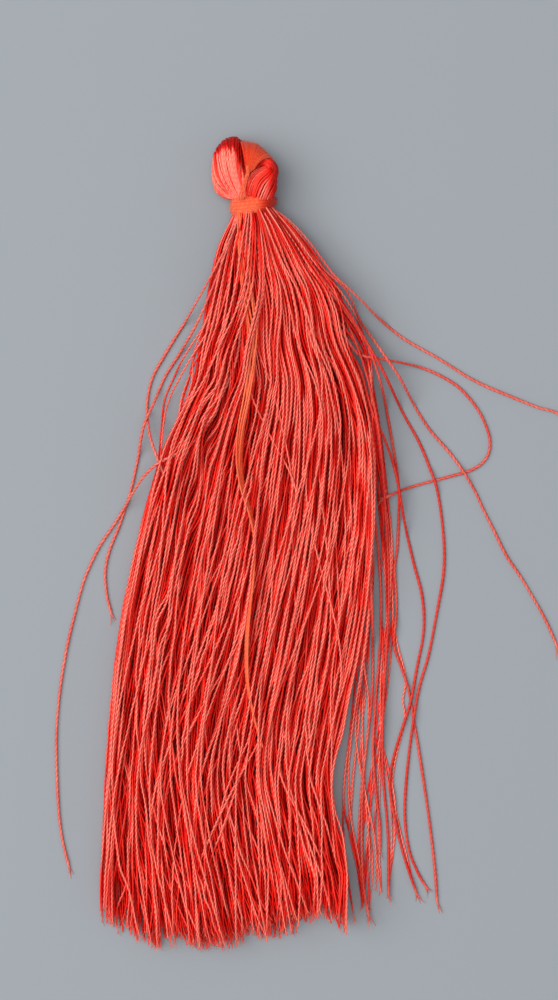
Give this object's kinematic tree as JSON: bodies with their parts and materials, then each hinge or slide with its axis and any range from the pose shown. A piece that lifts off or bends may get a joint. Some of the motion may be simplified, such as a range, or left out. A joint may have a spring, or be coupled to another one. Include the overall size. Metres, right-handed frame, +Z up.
{
  "type": "silk thread tassel",
  "caption": "Tassel of twisted silk thread lying on its back: a folded head with a tie, a wrapped neck and a long loose skirt.",
  "frame": {"origin": "on the surface that the tassel lies on, under the middle of the tassel without its loose threads", "axes": "+Y along the tassel towards its head, +X across it to the right seen from above, +Z up"},
  "size_m": [0.0913, 0.13, 0.0086],
  "materials": {
    "silk_thread": "lustrous two-ply twisted silk thread",
    "tie_yarn": "matte, slightly fuzzy yarn"
  },
  "bodies": {
    "root": {"hank": "silk_thread", "top_tie": "tie_yarn", "neck_wrap": "tie_yarn", "tie_tail": "tie_yarn", "stray_right_loop": "silk_thread", "stray_right_low": "silk_thread", "stray_right_top": "silk_thread", "stray_right_inner": "silk_thread", "stray_right_mid": "silk_thread", "stray_right_cross": "silk_thread", "loose_lock_outer": "silk_thread", "loose_lock_middle": "silk_thread", "loose_lock_inner": "silk_thread", "stray_left_loop": "silk_thread", "stray_left_low": "silk_thread", "stray_left_long": "silk_thread", "stray_right_coil": "silk_thread"}
  },
  "joints": []
}
